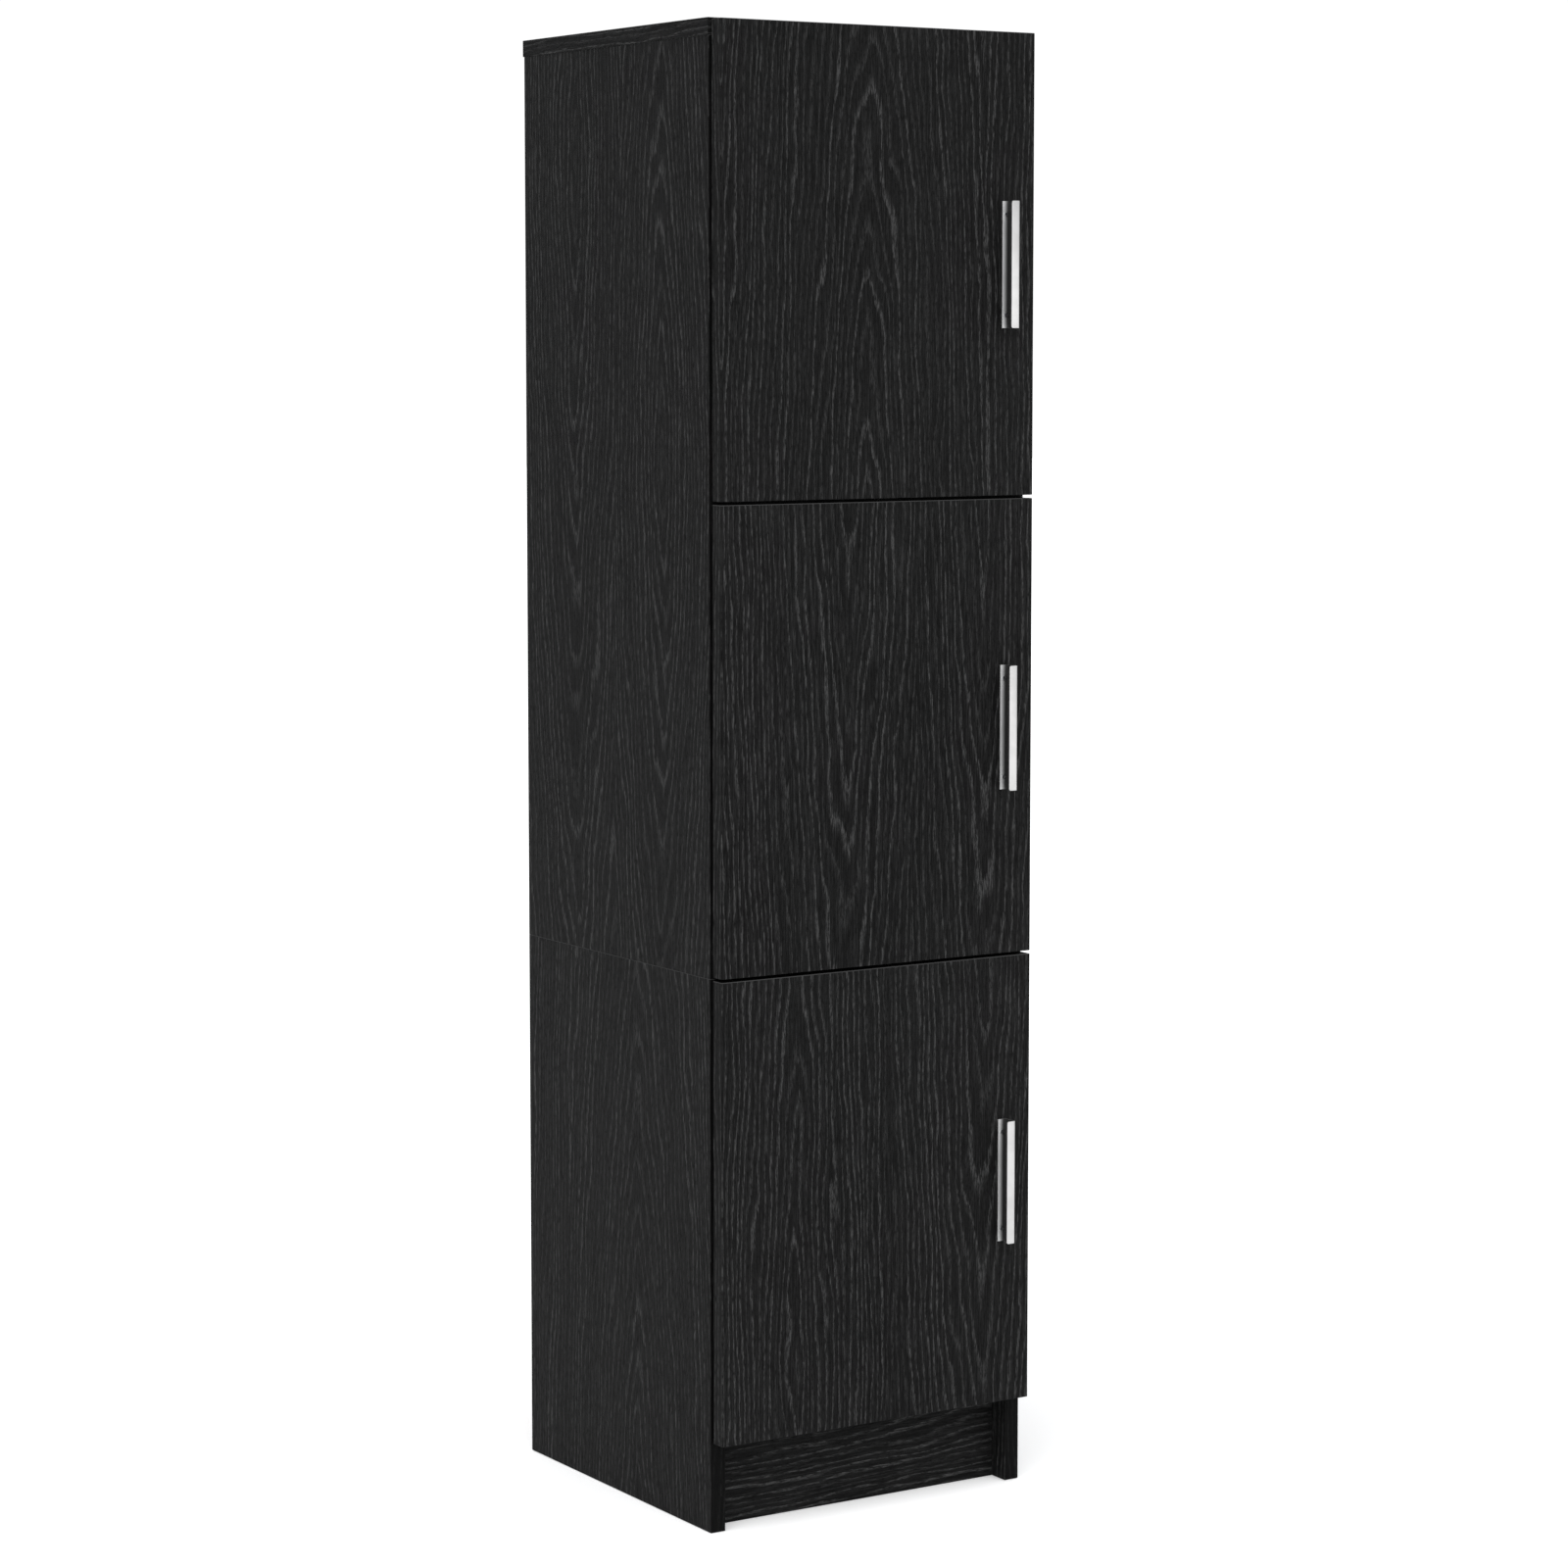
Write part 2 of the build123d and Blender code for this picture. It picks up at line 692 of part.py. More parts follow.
def make_door(name, floor, heights):
    """A door board with rounded edges, bored for its hinge cups and handle screws."""
    middle = floor + door_height / 2
    with BuildPart() as door:
        slab(
            (door_left, door_front, floor),
            (door_left + door_width, door_back, floor + door_height),
        )
        fillet(door.edges(), door_edge_round)
        for height in heights:
            cup_place = facing(cup_centre_x, door_back, height, (0, 1, 0))
            drill(cup_place, cup_radius + cup_play, cup_depth + cup_play)
            for z in (height - cup_screw_spacing / 2, height + cup_screw_spacing / 2):
                place = facing(cup_centre_x + cup_screw_offset, door_back, z, (0, 1, 0))
                drill(place, cup_screw_radius + hole_play, cup_screw_grip + hole_play)
        for z in (middle - handle_screw_spacing / 2, middle + handle_screw_spacing / 2):
            place = facing(handle_screw_x, door_back, z, (0, 1, 0))
            drill(place, handle_screw_radius + hole_play, door_thickness)
    save(door, f"{name}_door")


def make_handle(name, middle):
    """A channel handle, open to the left, screwed through the door."""
    low = middle - handle_length / 2
    high = middle + handle_length / 2
    with BuildPart() as handle:
        slab((handle_left, handle_front, low), (handle_right, door_front, high))
        corners = handle.edges().filter_by(Axis.Z).group_by(Axis.X)[-1]
        fillet(corners, handle_outer_round)
        slab(
            (handle_left, handle_front + handle_wall, low),
            (handle_right - handle_wall, door_front - handle_wall, high),
            Mode.SUBTRACT,
        )
        tips = handle.edges().filter_by(Axis.Y).group_by(Axis.X)[0].group_by(Axis.Y)[0]
        fillet(tips, handle_corner)
        for z in (middle - handle_screw_spacing / 2, middle + handle_screw_spacing / 2):
            drill(
                facing(handle_screw_x, door_front, z, (0, 1, 0)),
                handle_screw_radius + hole_play,
                handle_wall,
            )
    save(handle, f"{name}_handle")
    with BuildPart() as handle_screws:
        for z in (middle - handle_screw_spacing / 2, middle + handle_screw_spacing / 2):
            turned(
                facing(handle_screw_x, door_back, z, (0, -1, 0)),
                [
                    (-handle_screw_head_height, 0, handle_screw_head_radius),
                    (0, door_thickness + handle_wall + handle_screw_tip, handle_screw_radius),
                ],
            )
    save(handle_screws, f"{name}_handle_screws")


for door_name, door_floor, heights in zip(door_names, door_floors, hinge_heights):
    make_door(door_name, door_floor, heights)
    make_handle(door_name, door_floor + door_height / 2)
    for piece_name, make_pieces in (
        ("hinge_plates", hinge_plates),
        ("hinge_arms", hinge_arms),
        ("outer_links", outer_links),
        ("inner_links", inner_links),
        ("hinge_cups", hinge_cups),
        ("cup_rivets", cup_rivets),
    ):
        with BuildPart() as hinge_pieces:
            make_pieces(heights)
        save(hinge_pieces, f"{door_name}_{piece_name}")
    with BuildPart() as cup_screws:
        for z in (h + side * cup_screw_spacing / 2 for h in heights for side in (-1, 1)):
            turned(
                flipped(cup_screw_seat(z)),
                [
                    (-cup_screw_head_height, 0, cup_screw_head_radius),
                    (0, cup_flange_thickness + cup_screw_grip, cup_screw_radius),
                ],
            )
    save(cup_screws, f"{door_name}_cup_screws")
    with BuildPart() as bumpers:
        for z in (door_floor + bumper_inset, door_floor + door_height - bumper_inset):
            turned(
                facing(bumper_x, door_back, z, (0, 1, 0)),
                [(0, door_standoff - bumper_play, bumper_radius)],
            )
    save(bumpers, f"{door_name}_bumpers")

# --- fixings of the arms and plates to the left side ---
with BuildPart() as arm_rivets:
    for height in [z for pair in hinge_heights for z in pair]:
        rivet(arm_outer_pivot, height, outer_layer[1] + layer_play)
        rivet(arm_inner_pivot, height, middle_layer[1] + layer_play)
save(arm_rivets, "arm_rivets")

with BuildPart() as plate_screws:
    for height in [z for pair in hinge_heights for z in pair]:
        for z in (height - plate_screw_spacing / 2, height + plate_screw_spacing / 2):
            turned(
                facing(*plan((plate_sheet, plate_setback)), z, (-1, 0, 0)),
                [
                    (-plate_screw_head_height, 0, plate_screw_head_radius),
                    (0, plate_sheet + plate_screw_grip, plate_screw_radius),
                ],
            )
save(plate_screws, "plate_screws")

with BuildPart() as arm_screws:
    for height in [z for pair in hinge_heights for z in pair]:
        for y in arm_screw_places:
            turned(
                facing(*plan((arm_web_height + arm_sheet, y)), height, (-1, 0, 0)),
                [
                    (-arm_screw_head_height, 0, arm_screw_head_radius),
                    (0, arm_sheet + arm_screw_grip - hole_play, arm_screw_radius),
                ],
            )
save(arm_screws, "arm_screws")
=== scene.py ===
# %% [markdown]
# # A tall pantry cabinet
# The cabinet is a narrow carcass of melamine boards with three doors, one above the other. Its measured
# parts come ready from the CAD model. This lesson gives them their surfaces, models the pieces that
# need softer shapes than the CAD has, and lights the whole for a plain studio picture. All lengths are in
# metres, the cabinet stands on the floor at the origin, and its doors face -Y.

# %% Load the measured parts
import math

import bmesh
import bpy
from mathutils import Matrix, Vector


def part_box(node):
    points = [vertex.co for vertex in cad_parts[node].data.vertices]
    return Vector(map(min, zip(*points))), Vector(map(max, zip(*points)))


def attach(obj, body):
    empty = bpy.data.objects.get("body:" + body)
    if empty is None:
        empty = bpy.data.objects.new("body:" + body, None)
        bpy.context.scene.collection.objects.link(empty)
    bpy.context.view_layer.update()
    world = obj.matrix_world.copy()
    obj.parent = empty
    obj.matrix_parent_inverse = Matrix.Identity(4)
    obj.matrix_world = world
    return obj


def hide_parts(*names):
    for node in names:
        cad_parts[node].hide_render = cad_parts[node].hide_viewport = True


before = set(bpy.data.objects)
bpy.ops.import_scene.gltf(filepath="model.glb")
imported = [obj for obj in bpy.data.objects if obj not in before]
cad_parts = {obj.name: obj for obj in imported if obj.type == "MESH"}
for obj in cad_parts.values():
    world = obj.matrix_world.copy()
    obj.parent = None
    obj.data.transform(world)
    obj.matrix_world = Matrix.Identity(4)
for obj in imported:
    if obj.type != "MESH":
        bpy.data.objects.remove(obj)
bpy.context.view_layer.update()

# one millimetre in scene units
MM = 0.001
DOORS = ("lower", "middle", "upper")

# %% [markdown]
# ## The camera
# A tall object is best seen from a little above its middle, with a long lens, so that its upright edges
# stay nearly parallel. The camera could be aimed by a constraint, but a place and two angles are easier to
# repeat: it is turned towards the left front corner and dips a little. A small lens shift keeps the
# cabinet centred without tilting the camera further.

# %% Place the camera
CAMERA_PLACE = (-2.15394, -3.39855, 1.12043)
CAMERA_TURN = 0.56566
CAMERA_DIP = 0.09146
LENS_LENGTH = 94.081
LENS_SHIFT = -0.04
bpy.ops.object.select_all(action="DESELECT")
bpy.ops.object.camera_add(
    location=CAMERA_PLACE, rotation=(math.pi / 2 - CAMERA_DIP, 0.0, -CAMERA_TURN)
)
camera = bpy.context.object
camera.name = "studio_camera"
camera.data.lens = LENS_LENGTH
camera.data.shift_y = LENS_SHIFT
bpy.context.scene.camera = camera
print("camera at", CAMERA_PLACE, "with a", round(camera.data.lens, 1), "mm lens")

# %% [markdown]
# ## Node and material helpers
# A surface is a small tree of nodes. It could be wired by hand in the shader editor, but every finish here
# repeats the same few steps: add a node, set its numbers, link its inputs. These helpers do the steps once.

# %% Node and material helpers
def wire(tree, kind, inputs=None, **settings):
    """Adds a node, sets its settings, and sets or links each named or numbered input."""
    made = tree.nodes.new(kind)
    for name, value in settings.items():
        setattr(made, name, value)
    for socket, value in (inputs or {}).items():
        if isinstance(value, bpy.types.NodeSocket):
            tree.links.new(value, made.inputs[socket])
        else:
            made.inputs[socket].default_value = value
    return made


def new_material(name):
    """An empty node material and its tree."""
    material = bpy.data.materials.new(name)
    material.use_nodes = True
    material.node_tree.nodes.clear()
    return material, material.node_tree


def finish_material(tree, shader):
    """Links a shader to the material's output."""
    wire(tree, "ShaderNodeOutputMaterial", {"Surface": shader.outputs[0]})


print("material helpers ready")

# %% [markdown]
# ## The studio
# Black furniture shows its grain best in wide, soft light from the front. A bright room would fog the
# black boards, so the walls that the cabinet mirrors are darker than the white that the camera sees. The
# two walls could be real planes; a world that asks which ray is looking is simpler and has no edges. The
# floor is matt and glows faintly, so that it stays pale near the cabinet's foot.

# %% Fill the room with light
SEEN_WHITE = 1.05
FELT_LIGHT = 0.75
FELT_TINT = (0.95, 0.96, 0.975, 1.0)
WHITE = (1.0, 1.0, 1.0, 1.0)
scene = bpy.context.scene
scene.view_settings.view_transform = "Standard"
world = bpy.data.worlds.new("studio_room")
world.use_nodes = True
room = world.node_tree
room.nodes.clear()
seen = wire(room, "ShaderNodeBackground", {"Color": WHITE, "Strength": SEEN_WHITE})
felt = wire(room, "ShaderNodeBackground", {"Color": FELT_TINT, "Strength": FELT_LIGHT})
ray = wire(room, "ShaderNodeLightPath")
both = wire(
    room,
    "ShaderNodeMixShader",
    {0: ray.outputs["Is Camera Ray"], 1: felt.outputs[0], 2: seen.outputs[0]},
)
wire(room, "ShaderNodeOutputWorld", {"Surface": both.outputs[0]})
scene.world = world
print("room light", FELT_LIGHT, "behind a white of", SEEN_WHITE)

# %% Lay the floor
FLOOR_SIZE = 60.0
FLOOR_DROP = 0.5 * MM
FLOOR_GLOW = 0.2
FLOOR_PAINT = (0.9, 0.9, 0.9, 1.0)
bpy.ops.object.select_all(action="DESELECT")
bpy.ops.mesh.primitive_plane_add(size=FLOOR_SIZE, location=(0.0, 0.0, -FLOOR_DROP))
floor = bpy.context.object
floor.name = "studio_floor"
paint, tree = new_material("studio_floor_paint")
finish_material(
    tree,
    wire(
        tree,
        "ShaderNodeBsdfPrincipled",
        {
            "Base Color": FLOOR_PAINT,
            "Roughness": 0.9,
            "Emission Color": WHITE,
            "Emission Strength": FLOOR_GLOW,
        },
    ),
)
floor.data.materials.append(paint)
print("floor of", FLOOR_SIZE, "m laid")

# %% Set the lamps
SKY_SPREAD = math.radians(70)
PANEL = {"shape": "RECTANGLE", "size": 1.6, "size_y": 2.4}


def lamp(name, kind, energy, place, aim, **settings):
    """A soft light that points from a place to an aim."""
    data = bpy.data.lights.new(name, kind)
    data.energy = energy
    for setting, value in settings.items():
        setattr(data, setting, value)
    made = bpy.data.objects.new(name, data)
    made.location = place
    made.rotation_euler = (Vector(aim) - Vector(place)).to_track_quat("-Z", "Y").to_euler()
    scene.collection.objects.link(made)


lamp("sky_light", "SUN", 2.3, (-1.5, -2.2, 4.0), (0.0, 0.0, 0.5), angle=SKY_SPREAD)
lamp("front_panel", "AREA", 12.0, (1.9, -3.4, 1.3), (0.1, -0.2, 0.7), **PANEL)

# %% [markdown]
# ## Oak grain on the boards
# The boards are chipboard faced with a printed and embossed melamine foil that imitates black-stained
# oak. Its light lines are the porous early wood of each year ring. Where the saw ran near the heart they
# nest into tall arches, and beside them they run straight and close. So the pattern is made as the tree
# makes it: rings round a heart that leans through the board, cut by the board's face. A wave texture
# would be quicker, but its lines never close into arches. It is one node group, because every board
# shares it and differs only in where its hearts lie.

# %% Grain helpers
def new_group(name, inputs, outputs):
    """A shader node group with named sockets, and its input and output nodes."""
    tree = bpy.data.node_groups.new(name, "ShaderNodeTree")
    for socket, kind in inputs:
        tree.interface.new_socket(socket, in_out="INPUT", socket_type="NodeSocket" + kind)
    for socket, kind in outputs:
        tree.interface.new_socket(socket, in_out="OUTPUT", socket_type="NodeSocket" + kind)
    return tree, tree.nodes.new("NodeGroupInput").outputs, tree.nodes.new("NodeGroupOutput")


def calc(tree, operation, *values, clamp=False):
    """A maths node's result."""
    made = wire(tree, "ShaderNodeMath", dict(enumerate(values)), operation=operation)
    made.use_clamp = clamp
    return made.outputs[0]


def vector(tree, operation, *values):
    """A vector maths node's result, a number for a dot product and else a vector."""
    made = wire(tree, "ShaderNodeVectorMath", dict(enumerate(values)), operation=operation)
    return made.outputs["Value" if operation == "DOT_PRODUCT" else "Vector"]


def rise(tree, value, low, high, start=0.0, end=1.0):
    """A smooth step: start below low, end above high."""
    made = wire(
        tree,
        "ShaderNodeMapRange",
        {"Value": value, "From Min": low, "From Max": high, "To Min": start, "To Max": end},
        interpolation_type="SMOOTHSTEP",
    )
    return made.outputs[0]


def noise(tree, place, scale, detail=2.0, roughness=0.5):
    """A noise texture's value at a place."""
    made = wire(
        tree,
        "ShaderNodeTexNoise",
        {"Vector": place, "Scale": scale, "Detail": detail, "Roughness": roughness},
    )
    return made.outputs["Fac"]


def blend_colour(tree, share, first, second):
    """Two colours mixed by a share."""
    made = wire(tree, "ShaderNodeMix", data_type="RGBA")
    for socket, value in ((made.inputs[0], share), (made.inputs[6], first), (made.inputs[7], second)):
        if isinstance(value, bpy.types.NodeSocket):
            tree.links.new(value, socket)
        else:
            socket.default_value = value
    return made.outputs[2]


print("grain helpers ready")

# %% Build the oak grain
RING_MM = 6.2
ARCH_POINT = 1.5
HEART_BLEND_MM = 5.0
STEEP = 0.7
# grid cell across and along the grain (mm), and how far it moves the rings (mm, or rings for the last)
SWAY = (30.0, 190.0, 22.0)
QUIVER = (9.0, 26.0, 2.6)
DRIFT = (45.0, 110.0, 13.0)
FEATHER = (1.3, 34.0, 0.75)
# grid cell of a slow crowding of the rings (mm), and how many rings it can add
CROWDING_CELL = (70.0, 900.0)
CROWDING_RINGS = 3.0
# grid cells of the noises that only shade (mm)
STROKE_CELL = (1.0, 9.0)
FIBRE_CELL = (1.2, 45.0)
PORE_CELL = (0.9, 7.0)
CLOUD_CELL = (90.0, 420.0)
# the light early wood, as shares of a ring
FULL_FROM, FADES_FROM, GONE_BY = 0.08, 0.10, 0.46
FAINTEST_YEAR = 0.35
FIBRE_SHARE = 0.24


def build_oak_grain():
    """Ring lines, pores and a slow tone change, from a place, the grain's run and two hearts."""
    tree, given, given_out = new_group(
        "oak_grain",
        [
            ("Place", "Vector"),
            ("Facing", "Vector"),
            ("Run", "Vector"),
            ("End Run", "Vector"),
            ("First Heart", "Float"),
            ("Second Heart", "Float"),
            ("First Lean", "Float"),
            ("Second Lean", "Float"),
            ("First Eye", "Float"),
            ("Second Eye", "Float"),
            ("Seed", "Float"),
        ],
        [("Lines", "Float"), ("Pores", "Float"), ("Cloud", "Float")],
    )
    end_on = calc(tree, "ABSOLUTE", vector(tree, "DOT_PRODUCT", given["Facing"], given["Run"]))
    end_face = calc(tree, "GREATER_THAN", end_on, STEEP)
    run = wire(tree, "ShaderNodeMix", data_type="VECTOR")
    tree.links.new(end_face, run.inputs[0])
    tree.links.new(given["Run"], run.inputs[4])
    tree.links.new(given["End Run"], run.inputs[5])
    run = run.outputs[1]
    millimetres = vector(tree, "SCALE", given["Place"])
    millimetres.node.inputs["Scale"].default_value = 1 / MM
    along = vector(tree, "DOT_PRODUCT", millimetres, run)
    across = vector(tree, "DOT_PRODUCT", millimetres, vector(tree, "SUBTRACT", (1.0, 1.0, 1.0), run))

    def stretched(across_mm, along_mm):
        """A place whose grid cells have the given size in millimetres."""
        return wire(
            tree,
            "ShaderNodeCombineXYZ",
            {
                "X": calc(tree, "DIVIDE", across, across_mm),
                "Y": calc(tree, "DIVIDE", along, along_mm),
                "Z": given["Seed"],
            },
        ).outputs[0]

    def wander(across_mm, along_mm, reach, detail=1.0, roughness=0.5):
        """A slow change to both sides of nought."""
        change = noise(tree, stretched(across_mm, along_mm), 1.0, detail, roughness)
        return calc(tree, "MULTIPLY", calc(tree, "SUBTRACT", change, 0.5), reach)

    swayed = calc(tree, "ADD", calc(tree, "ADD", across, wander(*SWAY, 2.0)), wander(*QUIVER))
    drift = wander(*DRIFT)
    feather = wander(*FEATHER, 2.0, 0.6)
    rings = []
    for heart in ("First ", "Second "):
        beside = calc(tree, "SUBTRACT", swayed, given[heart + "Heart"])
        from_eye = calc(tree, "SUBTRACT", along, given[heart + "Eye"])
        depth = calc(tree, "MULTIPLY_ADD", from_eye, given[heart + "Lean"], drift)
        powers = [calc(tree, "POWER", calc(tree, "ABSOLUTE", leg), ARCH_POINT) for leg in (beside, depth)]
        rings.append(calc(tree, "POWER", calc(tree, "ADD", *powers), 1.0 / ARCH_POINT))
    nearest = calc(tree, "SMOOTH_MIN", *rings, HEART_BLEND_MM)
    count = calc(tree, "ADD", calc(tree, "DIVIDE", nearest, RING_MM), feather)
    count = calc(tree, "MULTIPLY_ADD", noise(tree, stretched(*CROWDING_CELL), 1.0), CROWDING_RINGS, count)
    age = calc(tree, "FRACT", count)
    year = wire(
        tree,
        "ShaderNodeTexWhiteNoise",
        {"W": calc(tree, "ADD", calc(tree, "FLOOR", count), given["Seed"])},
        noise_dimensions="1D",
    ).outputs["Value"]
    fading = rise(tree, age, FADES_FROM, GONE_BY, 1.0, 0.0)
    early = calc(tree, "MULTIPLY", rise(tree, age, 0.0, FULL_FROM), fading)
    strokes = rise(tree, noise(tree, stretched(*STROKE_CELL), 1.0, 3.0, 0.7), 0.40, 0.60, 0.12, 1.25)
    good_years = rise(tree, year, 0.0, 1.0, FAINTEST_YEAR, 1.0)
    lines = calc(tree, "MULTIPLY", calc(tree, "MULTIPLY", early, strokes), good_years)
    fibres = rise(tree, noise(tree, stretched(*FIBRE_CELL), 1.0, 3.0, 0.7), 0.40, 0.70)
    pores = rise(tree, noise(tree, stretched(*PORE_CELL), 1.0, 2.0, 0.6), 0.50, 0.64)
    lines = calc(tree, "MULTIPLY_ADD", fibres, FIBRE_SHARE, lines, clamp=True)
    tree.links.new(lines, given_out.inputs["Lines"])
    tree.links.new(pores, given_out.inputs["Pores"])
    tree.links.new(noise(tree, stretched(*CLOUD_CELL), 1.0), given_out.inputs["Cloud"])
    return tree


oak_grain = build_oak_grain()
print("oak grain group has", len(oak_grain.nodes), "nodes")

# %% [markdown]
# ## A finish for each board
# Doors and sides have their grain upright; the top, the shelves and the plinths have it lying. A board's
# narrow edges are banded with a strip whose grain runs along the strip, whichever way the face runs. One
# material for all boards would repeat the same arches on every door, so each board gets its own from one
# function, with its own hearts. Edge bands are a little darker, partly as a darker band and partly as
# painted shade, strongest on the sides' front edges under the doors. Edges that look upwards get a
# painted highlight, a paler colour where light from above would catch them.

# %% Describe the oak melamine
UP = (0.0, 0.0, 1.0)
SIDEWAYS = (1.0, 0.0, 0.0)
DEEP = (0.0, 1.0, 0.0)
BLACK_STAIN = (0.0046, 0.0046, 0.0046, 1.0)
FADED_STAIN = (0.0060, 0.0060, 0.0060, 1.0)
# a painted highlight for edges that face upwards, where light from above would catch them
PAINTED_EDGE_HIGHLIGHT = (0.044, 0.044, 0.044, 1.0)
GREY_PORE = (0.044, 0.044, 0.044, 1.0)
# near-black, for the pores' ticks and for the painted shade on the edge bands
TICK_AND_PAINTED_SHADE = (0.002, 0.002, 0.002, 1.0)
TICK_STRENGTH = 0.60
ARRIS_TILT = (0.2, 0.96)
EMBOSSING = 0.08 * MM
EMBOSSING_STRENGTH = 0.35
LINE_RELIEF = -0.6
BOARD_ROUGHNESS = 0.50
LINE_DULLING = 0.14
PORE_DULLING = 0.10
FOIL_GLOSS = 0.03


def oak_board(name, run, end_run, broad, band_and_painted_shade, hearts, leans, eyes, seed):
    """Black-stained oak melamine for one board, with its own arches."""
    material, tree = new_material("black_oak_" + name)
    place = wire(tree, "ShaderNodeTexCoord")
    grain = wire(tree, "ShaderNodeGroup", node_tree=oak_grain)
    tree.links.new(place.outputs["Object"], grain.inputs["Place"])
    tree.links.new(place.outputs["Normal"], grain.inputs["Facing"])
    for socket, value in (
        ("Run", run),
        ("End Run", end_run),
        ("First Heart", hearts[0]),
        ("Second Heart", hearts[1]),
        ("First Lean", leans[0]),
        ("Second Lean", leans[1]),
        ("First Eye", eyes[0]),
        ("Second Eye", eyes[1]),
        ("Seed", seed),
    ):
        grain.inputs[socket].default_value = value
    lines, pores, cloud = (grain.outputs[n] for n in ("Lines", "Pores", "Cloud"))
    stain = blend_colour(tree, rise(tree, cloud, 0.3, 0.7), BLACK_STAIN, FADED_STAIN)
    colour = blend_colour(tree, lines, stain, GREY_PORE)
    colour = blend_colour(tree, calc(tree, "MULTIPLY", pores, TICK_STRENGTH), colour, TICK_AND_PAINTED_SHADE)
    # edge bands are darkened: partly a darker band, partly painted shade, most on the sides' front edges
    face_on = calc(tree, "ABSOLUTE", vector(tree, "DOT_PRODUCT", place.outputs["Normal"], broad))
    band = calc(tree, "LESS_THAN", face_on, STEEP)
    colour = blend_colour(tree, calc(tree, "MULTIPLY", band, band_and_painted_shade), colour, TICK_AND_PAINTED_SHADE)
    # painted highlight: edges tilted upwards are made paler, standing in for the light from above
    upward = vector(tree, "DOT_PRODUCT", place.outputs["Normal"], UP)
    tilted = calc(tree, "GREATER_THAN", upward, ARRIS_TILT[0])
    arris_highlight_mask = calc(tree, "MULTIPLY", tilted, calc(tree, "LESS_THAN", upward, ARRIS_TILT[1]))
    colour = blend_colour(tree, arris_highlight_mask, colour, PAINTED_EDGE_HIGHLIGHT)
    roughness = calc(tree, "MULTIPLY_ADD", pores, PORE_DULLING, BOARD_ROUGHNESS)
    roughness = calc(tree, "MULTIPLY_ADD", lines, LINE_DULLING, roughness)
    relief = calc(tree, "SUBTRACT", calc(tree, "MULTIPLY", lines, LINE_RELIEF), pores)
    bump = wire(
        tree,
        "ShaderNodeBump",
        {"Height": relief, "Strength": EMBOSSING_STRENGTH, "Distance": EMBOSSING},
    )
    shader = wire(
        tree,
        "ShaderNodeBsdfPrincipled",
        {
            "Base Color": colour,
            "Roughness": roughness,
            "Normal": bump.outputs[0],
            "Specular IOR Level": FOIL_GLOSS,
        },
    )
    finish_material(tree, shader)
    return material


def cover(node, material):
    """Puts a material on a measured part in place of all that it has."""
    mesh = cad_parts[node].data
    mesh.materials.clear()
    mesh.materials.append(material)


print("oak melamine described")

# %% Finish the boards
# board: run, end run, the way its broad faces look, how much darker its edge bands are (partly a darker
# band, partly painted shade, most on the sides' front edges under the doors), and then the places of its
# two hearts (mm), their leans, the places of their eyes along the run (mm), and a seed
BOARDS = {
    "lower_door": (UP, SIDEWAYS, DEEP, 0.05, (-270.0, -56.0), (0.065, 0.08), (168.0, 640.0), 3.1),
    "middle_door": (UP, SIDEWAYS, DEEP, 0.05, (-214.0, -56.0), (0.085, 0.07), (1010.0, 1100.0), 7.4),
    "upper_door": (UP, SIDEWAYS, DEEP, 0.05, (-191.0, 90.0), (0.09, 0.05), (860.0, 1180.0), 12.9),
    "left_side_lower": (UP, DEEP, SIDEWAYS, 0.8, (-200.0, 80.0), (0.12, 0.08), (-150.0, 600.0), 21.3),
    "left_side_upper": (UP, DEEP, SIDEWAYS, 0.8, (-250.0, -88.0), (0.12, 0.11), (1020.0, 1300.0), 27.8),
    "right_side_lower": (UP, DEEP, SIDEWAYS, 0.8, (260.0, 100.0), (0.10, 0.08), (-100.0, 620.0), 33.2),
    "right_side_upper": (UP, DEEP, SIDEWAYS, 0.8, (230.0, 60.0), (0.09, 0.12), (600.0, 1300.0), 38.6),
    "top_panel": (SIDEWAYS, DEEP, UP, 0.0, (1430.0, 1330.0), (0.10, 0.08), (-300.0, 200.0), 44.1),
    "bottom_panel": (SIDEWAYS, DEEP, UP, 0.0, (60.0, 200.0), (0.10, 0.08), (0.0, 260.0), 49.7),
    "lower_shelf": (SIDEWAYS, DEEP, UP, 0.0, (480.0, 620.0), (0.10, 0.08), (-220.0, 200.0), 55.3),
    "upper_shelf": (SIDEWAYS, DEEP, UP, 0.0, (940.0, 1090.0), (0.09, 0.08), (180.0, -260.0), 61.8),
    "front_plinth": (SIDEWAYS, UP, DEEP, 0.3, (-60.0, -20.0), (0.05, 0.08), (-400.0, 300.0), 67.5),
    "rear_plinth": (SIDEWAYS, UP, DEEP, 0.3, (230.0, 180.0), (0.07, 0.08), (-300.0, 300.0), 73.2),
}
for board_name, settings in BOARDS.items():
    cover(board_name, oak_board(board_name, *settings))
print(len(BOARDS), "boards finished")

# %% [markdown]
# ## Metals
# Pressed steel, plated screws and brushed handles differ mostly in how their gloss varies: fine streaks
# where a brush or a die has run, and soft cloudy marks where hands and plating have been. A scanned metal
# surface could be wrapped round each part, but stretched noise follows any shape without seams. The
# inside of a folded handle is never brushed, and its colour is painted darker towards the fold, a painted
# shade for the shadow deep in the channel.

